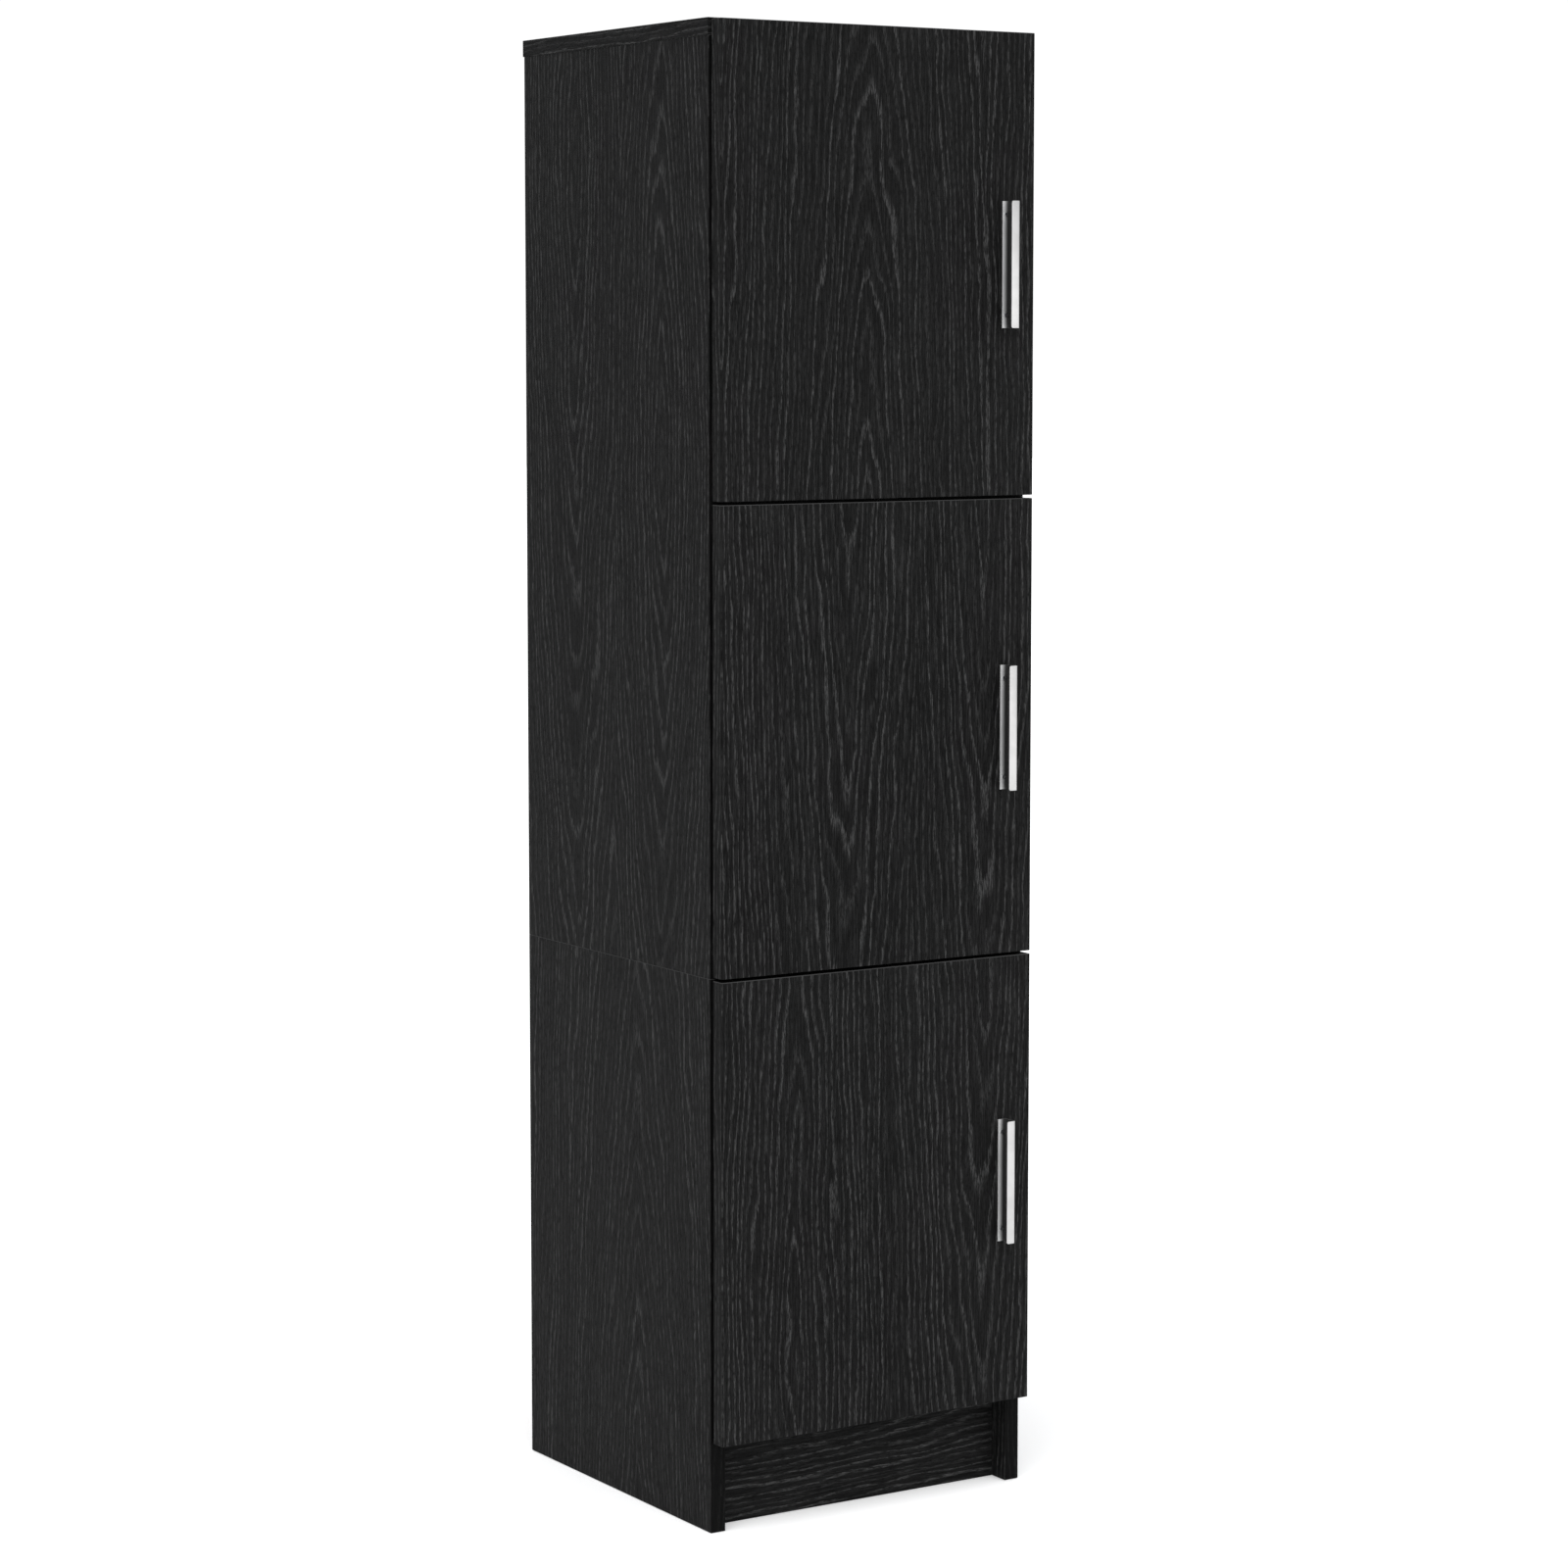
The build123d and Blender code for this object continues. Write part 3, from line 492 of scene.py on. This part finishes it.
# %% Shared wear for the metals
def build_worn_metal():
    """Streaks along one direction and slow clouds, for any bare or plated metal."""
    tree, given, given_out = new_group(
        "worn_metal",
        [("Place", "Vector"), ("Streak Size", "Vector"), ("Cloud Size", "Float")],
        [("Streaks", "Float"), ("Clouds", "Float")],
    )
    fine = vector(tree, "DIVIDE", given["Place"], given["Streak Size"])
    tree.links.new(noise(tree, fine, 1.0, 4.0, 0.65), given_out.inputs["Streaks"])
    slow = noise(tree, given["Place"], given["Cloud Size"], 4.0)
    tree.links.new(slow, given_out.inputs["Clouds"])
    return tree


worn_metal = build_worn_metal()
print("worn metal group has", len(worn_metal.nodes), "nodes")


# %% Describe a metal finish
def metal(name, light, dark, streak_mm, gloss, bump_mm, cloud_size=60.0, fold=None):
    """A metal finish: two greys, a streak size, a roughness and its swing, and a painted shade towards a
    fold.
    """
    rough, rough_swing = gloss
    material, tree = new_material(name)
    place = wire(tree, "ShaderNodeTexCoord")
    wear = wire(tree, "ShaderNodeGroup", node_tree=worn_metal)
    tree.links.new(place.outputs["Object"], wear.inputs["Place"])
    wear.inputs["Streak Size"].default_value = [size * MM for size in streak_mm]
    wear.inputs["Cloud Size"].default_value = cloud_size
    streaks, clouds = wear.outputs["Streaks"], wear.outputs["Clouds"]
    tone = blend_colour(tree, rise(tree, clouds, 0.35, 0.65), light, dark)
    # painted shade: towards the fold the colour darkens, standing in for the shadow inside the channel
    if fold:
        shade_begins, shade_full, painted_shade = fold
        across = vector(tree, "DOT_PRODUCT", place.outputs["Object"], SIDEWAYS)
        tone = blend_colour(tree, rise(tree, across, shade_begins, shade_full), tone, painted_shade)
    roughness = calc(tree, "MULTIPLY_ADD", streaks, rough_swing, rough - rough_swing / 2)
    bump = wire(tree, "ShaderNodeBump", {"Height": streaks, "Strength": 0.4, "Distance": bump_mm * MM})
    shader = wire(
        tree,
        "ShaderNodeBsdfPrincipled",
        {"Base Color": tone, "Metallic": 1.0, "Roughness": roughness, "Normal": bump.outputs[0]},
    )
    finish_material(tree, shader)
    return material


print("metal finish described")

# %% Mix the metal finishes
# the painted shade inside a handle's channel, darkest at the fold, where the channel is in shadow
FOLD_PAINTED_SHADE = (0.05, 0.05, 0.05, 1)
grip_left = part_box("lower_handle")[0].x
pressed_inside = metal(
    "pressed_inside",
    (0.66, 0.66, 0.66, 1),
    (0.60, 0.60, 0.60, 1),
    streak_mm=(0.4, 0.4, 5.0),
    gloss=(0.82, 0.12),
    bump_mm=0.02,
    fold=(grip_left + 1.0 * MM, grip_left + 7.0 * MM, FOLD_PAINTED_SHADE),
)
satin_metal = metal(
    "satin_metal",
    (0.57, 0.565, 0.56, 1),
    (0.52, 0.515, 0.51, 1),
    streak_mm=(0.25, 0.25, 14.0),
    gloss=(0.40, 0.16),
    bump_mm=0.02,
)
hinge_steel = metal(
    "hinge_steel",
    (0.66, 0.66, 0.65, 1),
    (0.56, 0.56, 0.56, 1),
    streak_mm=(0.6, 0.6, 4.0),
    gloss=(0.30, 0.16),
    bump_mm=0.01,
)
zinc_steel = metal(
    "zinc_steel",
    (0.62, 0.63, 0.64, 1),
    (0.50, 0.51, 0.54, 1),
    streak_mm=(0.8, 0.8, 0.8),
    gloss=(0.36, 0.20),
    bump_mm=0.02,
    cloud_size=300.0,
)
zinc_casting = metal(
    "zinc_casting",
    (0.46, 0.46, 0.47, 1),
    (0.34, 0.34, 0.36, 1),
    streak_mm=(0.5, 0.5, 0.5),
    gloss=(0.52, 0.24),
    bump_mm=0.05,
    cloud_size=400.0,
)
print("five metal finishes made")

# %% [markdown]
# ## Back panel, plastic, dowels and bumpers
# The back is thin hardboard, lacquered black where it faces the shelves and bare brown fibre behind. Two
# materials could meet at its edge, but the way the surface faces tells them apart in a single one. The
# joining strip is extruded plastic, the dowels are beech and the bumpers are clear rubber.

# %% Describe the hardboard
BARE_FIBRE = ((0.16, 0.085, 0.042, 1), (0.27, 0.155, 0.08, 1))
DARK_FLECK = (0.09, 0.05, 0.028, 1)
LACQUER = ((0.013, 0.013, 0.0135, 1), (0.019, 0.019, 0.0195, 1))


def hardboard():
    """Thin hardboard: black lacquer in front, bare pressed fibre at the rear and the edges."""
    material, tree = new_material("back_board")
    place = wire(tree, "ShaderNodeTexCoord")
    rear = calc(tree, "GREATER_THAN", vector(tree, "DOT_PRODUCT", place.outputs["Normal"], DEEP), -0.5)
    fibres = noise(tree, place.outputs["Object"], 900.0, 5.0, 0.7)
    flecks = noise(tree, place.outputs["Object"], 160.0, 3.0, 0.6)
    bare = blend_colour(tree, rise(tree, fibres, 0.35, 0.7), *BARE_FIBRE)
    bare = blend_colour(tree, rise(tree, flecks, 0.62, 0.72, 0.0, 0.5), bare, DARK_FLECK)
    lacquer = blend_colour(tree, rise(tree, flecks, 0.3, 0.7), *LACQUER)
    gloss = calc(tree, "MULTIPLY_ADD", rear, 0.3, calc(tree, "MULTIPLY_ADD", flecks, 0.14, 0.45))
    bump = wire(tree, "ShaderNodeBump", {"Height": fibres, "Strength": 0.3, "Distance": 0.15 * MM})
    shader = wire(
        tree,
        "ShaderNodeBsdfPrincipled",
        {
            "Base Color": blend_colour(tree, rear, lacquer, bare),
            "Roughness": gloss,
            "Normal": bump.outputs[0],
            "Specular IOR Level": 0.25,
        },
    )
    finish_material(tree, shader)
    return material


print("hardboard described")


# %% Describe the plastic, the rubber and the beech
BEECH = ((0.60, 0.42, 0.25, 1), (0.47, 0.30, 0.16, 1))
BEECH_RAY = (1.2 * MM, 1.2 * MM, 6.0 * MM)


def mottled(name, low, high, scale, rough, swing, bump_mm, **sockets):
    """A dull material of two tones with a fine uneven surface."""
    material, tree = new_material(name)
    place = wire(tree, "ShaderNodeTexCoord")
    mottle = noise(tree, place.outputs["Object"], scale, 4.0, 0.6)
    bump = wire(tree, "ShaderNodeBump", {"Height": mottle, "Strength": 0.4, "Distance": bump_mm * MM})
    shader = wire(
        tree,
        "ShaderNodeBsdfPrincipled",
        {
            "Base Color": blend_colour(tree, rise(tree, mottle, 0.3, 0.7), low, high),
            "Roughness": calc(tree, "MULTIPLY_ADD", mottle, swing, rough - swing / 2),
            "Normal": bump.outputs[0],
            **sockets,
        },
    )
    finish_material(tree, shader)
    return material


def beech_wood():
    """Raw beech with its short rays."""
    material, tree = new_material("beech")
    place = wire(tree, "ShaderNodeTexCoord")
    rays = noise(tree, vector(tree, "DIVIDE", place.outputs["Object"], BEECH_RAY), 1.0, 3.0, 0.6)
    bump = wire(tree, "ShaderNodeBump", {"Height": rays, "Strength": 0.4, "Distance": 0.2 * MM})
    shader = wire(
        tree,
        "ShaderNodeBsdfPrincipled",
        {
            "Base Color": blend_colour(tree, rise(tree, rays, 0.3, 0.7), *BEECH),
            "Roughness": calc(tree, "MULTIPLY_ADD", rays, 0.2, 0.5),
            "Normal": bump.outputs[0],
        },
    )
    finish_material(tree, shader)
    return material


print("plastic, rubber and beech described")

# %% Gather the finishes
finishes = {
    "back_board": hardboard(),
    "black_plastic": mottled(
        "black_plastic", (0.012, 0.012, 0.012, 1), (0.022, 0.022, 0.022, 1), 500.0, 0.55, 0.2, 0.05
    ),
    "clear_rubber": mottled(
        "clear_rubber",
        (0.62, 0.62, 0.60, 1),
        (0.50, 0.50, 0.48, 1),
        700.0,
        0.42,
        0.16,
        0.03,
        **{"Transmission Weight": 0.5},
    ),
    "beech": beech_wood(),
    "satin_metal": satin_metal,
    "hinge_steel": hinge_steel,
    "zinc_steel": zinc_steel,
    "zinc_casting": zinc_casting,
}
print(len(finishes), "finishes for the hardware and the back")

# %% Cover the measured hardware
PARTS_BY_FINISH = {
    "back_board": ["back_panel_lower", "back_panel_upper"],
    "black_plastic": ["back_joining_strip"],
    "zinc_steel": ["cam_bolts", "wall_bracket", "bracket_screws", "plate_screws", "arm_screws"],
    "hinge_steel": ["arm_rivets"],
    "zinc_casting": ["cam_housings"],
    "beech": ["dowels"],
    "satin_metal": [],
    "clear_rubber": [],
}
for door in DOORS:
    PARTS_BY_FINISH["satin_metal"].append(door + "_handle")
    PARTS_BY_FINISH["clear_rubber"].append(door + "_bumpers")
    PARTS_BY_FINISH["zinc_steel"] += [door + "_handle_screws", door + "_cup_screws"]
    PARTS_BY_FINISH["hinge_steel"] += [
        f"{door}_{part}"
        for part in ("hinge_arms", "hinge_plates", "hinge_cups", "cup_rivets", "outer_links", "inner_links")
    ]
for finish, nodes in PARTS_BY_FINISH.items():
    for node in nodes:
        cover(node, finishes[finish])
print(sum(map(len, PARTS_BY_FINISH.values())), "pieces of hardware covered")

# %% [markdown]
# ## Handles
# Each handle is a strip of sheet metal folded twice into a channel: one leaf lies on the door, the web
# stands out from it, and the front leaf turns back as the grip. It could be cut from a solid block, but
# a fold is what the press does, so the strip is drawn flat, extruded leaf by leaf, and its two folds and
# two free corners are rounded before the sheet gets its thickness. One handle is made, and the other two
# are copies of it at their own heights.

# %% Selection helpers
def centre_of(element):
    """The middle of a vertex, an edge or a face."""
    if isinstance(element, bmesh.types.BMVert):
        return element.co
    return sum((v.co for v in element.verts), Vector()) / len(element.verts)


def pick(piece, kind, test):
    """Selects the vertices, edges or faces whose middle passes a test, and nothing else."""
    bpy.ops.mesh.select_mode(type=kind)
    bpy.ops.mesh.select_all(action="DESELECT")
    shape = bmesh.from_edit_mesh(piece.data)
    group = {"VERT": shape.verts, "EDGE": shape.edges, "FACE": shape.faces}[kind]
    for element in [e for e in group if test(centre_of(e))]:
        element.select_set(True)
    shape.select_flush_mode()
    bmesh.update_edit_mesh(piece.data)


def start_piece(name, adder, **settings):
    """Adds a primitive as a named piece, with its place in its mesh, ready in edit mode."""
    bpy.ops.object.select_all(action="DESELECT")
    adder(**settings)
    piece = bpy.context.object
    piece.name = piece.data.name = name
    bpy.ops.object.transform_apply(location=True, rotation=True, scale=True)
    bpy.ops.object.mode_set(mode="EDIT")
    return piece


def pull(x, y, z):
    """Extrudes the selection by a vector."""
    bpy.ops.mesh.extrude_region_move(TRANSFORM_OT_translate={"value": (x, y, z)})


def apply_modifier(piece, kind, **settings):
    """Adds a modifier and applies it."""
    bpy.context.view_layer.objects.active = piece
    made = piece.modifiers.new(kind.lower(), kind)
    for name, value in settings.items():
        setattr(made, name, value)
    bpy.ops.object.modifier_apply(modifier=made.name)


def smooth(piece, degrees=35.0):
    """Smooth shading across gentle edges only."""
    bpy.ops.object.select_all(action="DESELECT")
    piece.select_set(True)
    bpy.context.view_layer.objects.active = piece
    bpy.ops.object.shade_smooth_by_angle(angle=math.radians(degrees))


print("selection helpers ready")

# %% Fold one handle
WALL = 1.5 * MM
FOLD_RADIUS = 2.0 * MM
TIP_RADIUS = 2.0 * MM
EDGE_BREAK = 0.2 * MM
EDGE_ANGLE = math.radians(40)
NEAR = 0.1 * MM


def fold_handle(name, low, high):
    """A channel handle between two corners, open to the left."""
    width, depth, height = high - low
    handle = start_piece(
        name,
        bpy.ops.mesh.primitive_plane_add,
        size=1.0,
        location=((low.x + high.x) / 2, high.y, (low.z + high.z) / 2),
        rotation=(-math.pi / 2, 0.0, 0.0),
    )
    bpy.ops.transform.resize(value=(width, 1.0, height), center_override=tuple((low + high) / 2))
    pick(handle, "EDGE", lambda c: abs(c.x - high.x) < NEAR)
    pull(0.0, -depth, 0.0)
    pick(handle, "EDGE", lambda c: abs(c.y - low.y) < NEAR)
    pull(-width, 0.0, 0.0)
    pick(handle, "VERT", lambda c: abs(c.y - low.y) < NEAR and abs(c.x - low.x) < NEAR)
    bpy.ops.mesh.bevel(offset=TIP_RADIUS, segments=6, affect="VERTICES")
    pick(handle, "EDGE", lambda c: abs(c.x - high.x) < NEAR and min(c.y - low.y, high.y - c.y) < NEAR)
    bpy.ops.mesh.bevel(offset=FOLD_RADIUS, segments=8, affect="EDGES")
    bpy.ops.mesh.select_all(action="SELECT")
    bpy.ops.mesh.normals_make_consistent(inside=False)
    shape = bmesh.from_edit_mesh(handle.data)
    leaf = min(shape.faces, key=lambda f: centre_of(f).y)
    if leaf.normal.y > 0:
        bpy.ops.mesh.flip_normals()
    bpy.ops.object.mode_set(mode="OBJECT")
    handle.data.materials.append(satin_metal)
    handle.data.materials.append(pressed_inside)
    apply_modifier(
        handle, "SOLIDIFY", thickness=WALL, offset=-1.0, use_even_offset=True, material_offset=1
    )
    apply_modifier(
        handle, "BEVEL", width=EDGE_BREAK, segments=2, limit_method="ANGLE", angle_limit=EDGE_ANGLE
    )
    smooth(handle)
    return handle


lower_grip = fold_handle("lower_door_handle", *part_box("lower_handle"))
spans = [round(side / MM, 1) for side in lower_grip.dimensions]
print("one handle has", len(lower_grip.data.polygons), "faces and spans", spans)

# %% Copy the handle to each door
for door in DOORS:
    grip = lower_grip
    if door != "lower":
        grip = bpy.data.objects.new(door + "_door_handle", lower_grip.data.copy())
        scene.collection.objects.link(grip)
        rise_of_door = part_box(door + "_handle")[0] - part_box("lower_handle")[0]
        grip.data.transform(Matrix.Translation(rise_of_door))
    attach(grip, door + "_door")
    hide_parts(door + "_handle")
print("handles on", len(DOORS), "doors")

# %% [markdown]
# ## Screws
# The CAD screws are plain pins with flat heads. A real one has a domed head with a cross recess, so each
# size is turned from a cylinder: its rim is bevelled into a dome, its shank is inset and pulled out of
# the underside, and two thin tapered bars are cut out of the head. The copies stand where the pins do,
# each turned to its own angle, because no two screws stop at the same place. A dark cross in the material
# would be quicker, but a real cut catches the light and stays in an exported mesh.

# %% Find the pins
WELD = 0.001 * MM


def solids_of(node):
    """The lowest and highest corners of each separate solid in a measured part."""
    shape = bmesh.new()
    shape.from_mesh(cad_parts[node].data)
    bmesh.ops.remove_doubles(shape, verts=shape.verts, dist=WELD)
    left, boxes = set(shape.verts), []
    while left:
        grown, edge = set(), [left.pop()]
        while edge:
            point = edge.pop()
            grown.add(point)
            for link in point.link_edges:
                other = link.other_vert(point)
                if other in left:
                    left.remove(other)
                    edge.append(other)
        corners = list(zip(*(p.co for p in grown)))
        boxes.append((Vector(map(min, corners)), Vector(map(max, corners))))
    shape.free()
    return sorted(boxes, key=lambda box: tuple(round(c, 5) for c in box[0]))


print(len(solids_of("plate_screws")), "pins hold the hinge plates")

# %% Turn one screw
DOME_SHARE = 0.55
RECESS_REACH = 0.52
RECESS_DEPTH = 0.75
RECESS_WIDTH = 0.7 * MM
RECESS_TAPER = 0.55


def turn_screw(name, head_radius, head_height, shank_radius, shank_length):
    """One screw with its head's top at the origin, facing up."""
    screw = start_piece(
        name,
        bpy.ops.mesh.primitive_cylinder_add,
        vertices=32,
        radius=head_radius,
        depth=head_height,
        location=(0.0, 0.0, -head_height / 2),
    )
    pick(screw, "EDGE", lambda c: abs(c.z) < NEAR / 2)
    bpy.ops.mesh.bevel(offset=head_height * DOME_SHARE, segments=4, affect="EDGES")
    pick(screw, "FACE", lambda c: abs(c.z + head_height) < NEAR / 2)
    bpy.ops.mesh.inset(thickness=head_radius - shank_radius)
    pull(0.0, 0.0, -shank_length)
    bpy.ops.object.mode_set(mode="OBJECT")
    for angle in (0.0, math.pi / 2):
        bar = start_piece("recess_bar", bpy.ops.mesh.primitive_cube_add, size=1.0)
        half = head_radius * RECESS_REACH
        deep = head_height * RECESS_DEPTH
        bpy.ops.transform.resize(value=(2 * half, RECESS_WIDTH, 2 * deep), center_override=(0, 0, 0))
        pick(bar, "FACE", lambda c: c.z < 0 and abs(c.x) < NEAR and abs(c.y) < NEAR)
        bpy.ops.transform.resize(value=(RECESS_TAPER, 1.0, 1.0), center_override=(0, 0, 0))
        bpy.ops.object.mode_set(mode="OBJECT")
        bar.data.transform(Matrix.Rotation(angle, 4, "Z"))
        apply_modifier(screw, "BOOLEAN", operation="DIFFERENCE", object=bar, solver="EXACT")
        bpy.data.objects.remove(bar)
    smooth(screw)
    return screw


print("screw turning ready")

# %% Place a screw at every pin
TWIST_STEP = 2.4


def place_screws(node, body, direction, master, slot_name):
    """Copies a screw to each pin of a measured part, and joins them as the piece that stands for it."""
    turn_up = direction.to_track_quat("Z", "Y").to_matrix().to_4x4()
    bpy.ops.object.select_all(action="DESELECT")
    for number, (low, high) in enumerate(solids_of(node)):
        head = (low + high) / 2 + direction * (abs((high - low) @ direction) / 2)
        twist = Matrix.Rotation(TWIST_STEP * (number + 1), 4, "Z")
        copy = bpy.data.objects.new(node + "_turned", master.data.copy())
        copy.data.transform(Matrix.Translation(head) @ turn_up @ twist)
        scene.collection.objects.link(copy)
        copy.select_set(True)
        bpy.context.view_layer.objects.active = copy
    bpy.ops.object.join()
    joined = bpy.context.object
    joined.data.materials.clear()
    joined.data.materials.append(finishes[slot_name])
    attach(joined, body)
    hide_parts(node)
    return joined


print("screw placing ready")

# %% Fit the screws
OUT_OF_DOOR = Vector((0.0, 1.0, 0.0))
INTO_ROOM = Vector((1.0, 0.0, 0.0))
DOWN = Vector((0.0, 0.0, -1.0))
# part: head radius, head height, shank radius, shank length (mm), way the head faces
SCREWS = {
    "plate_screws": (3.6, 1.6, 2.5, 13.0, INTO_ROOM),
    "arm_screws": (3.4, 1.4, 2.0, 7.4, INTO_ROOM),
    "bracket_screws": (4.0, 1.6, 2.0, 13.0, DOWN),
    "cup_screws": (3.0, 0.6, 1.7, 12.0, OUT_OF_DOOR),
    "handle_screws": (3.8, 1.4, 1.9, 18.5, OUT_OF_DOOR),
}
for part, (*sizes_mm, direction) in SCREWS.items():
    master = turn_screw(part + "_master", *(size * MM for size in sizes_mm))
    on_doors = part in ("cup_screws", "handle_screws")
    for owner in DOORS if on_doors else ("",):
        node = f"{owner}_{part}" if owner else part
        placed = place_screws(node, owner + "_door" if owner else "carcass", direction, master, "zinc_steel")
        print(placed.name, "has", len(placed.data.polygons), "faces")
    bpy.data.objects.remove(master)

# %% [markdown]
# ## Pressed hinge parts
# Sheet parts that leave a press have softly broken edges, and those thin bright lines are what makes
# metal look like metal. The measured shapes are right, so each is copied, its loose triangles are welded
# and merged into whole faces, and a fine bevel runs along every sharp edge. A rounded-edge shader would
# be lighter, but it leaves the outline hard and doesn't survive an export.

# %% Break the edges of the metal parts
FLAT_ANGLE = math.radians(0.5)


def soften(node, body, break_mm):
    """A copy of a measured part with finely bevelled edges, which stands for it."""
    bpy.ops.object.select_all(action="DESELECT")
    piece = bpy.data.objects.new(node + "_pressed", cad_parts[node].data.copy())
    scene.collection.objects.link(piece)
    piece.select_set(True)
    bpy.context.view_layer.objects.active = piece
    bpy.ops.object.mode_set(mode="EDIT")
    bpy.ops.mesh.select_all(action="SELECT")
    bpy.ops.mesh.remove_doubles(threshold=WELD)
    bpy.ops.mesh.dissolve_limited(angle_limit=FLAT_ANGLE)
    bpy.ops.object.mode_set(mode="OBJECT")
    apply_modifier(
        piece, "BEVEL", width=break_mm * MM, segments=2, limit_method="ANGLE", angle_limit=EDGE_ANGLE
    )
    smooth(piece)
    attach(piece, body)
    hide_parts(node)
    return piece


pressed = [soften("wall_bracket", "carcass", 0.25)]
for door in DOORS:
    for part, body, break_mm in (
        ("hinge_arms", "carcass", 0.2),
        ("hinge_plates", "carcass", 0.3),
        ("hinge_cups", door + "_door", 0.12),
        ("outer_links", door + "_outer_links", 0.15),
        ("inner_links", door + "_inner_links", 0.2),
    ):
        pressed.append(soften(f"{door}_{part}", body, break_mm))
print(len(pressed), "pressed parts softened, with", sum(len(p.data.polygons) for p in pressed), "faces")
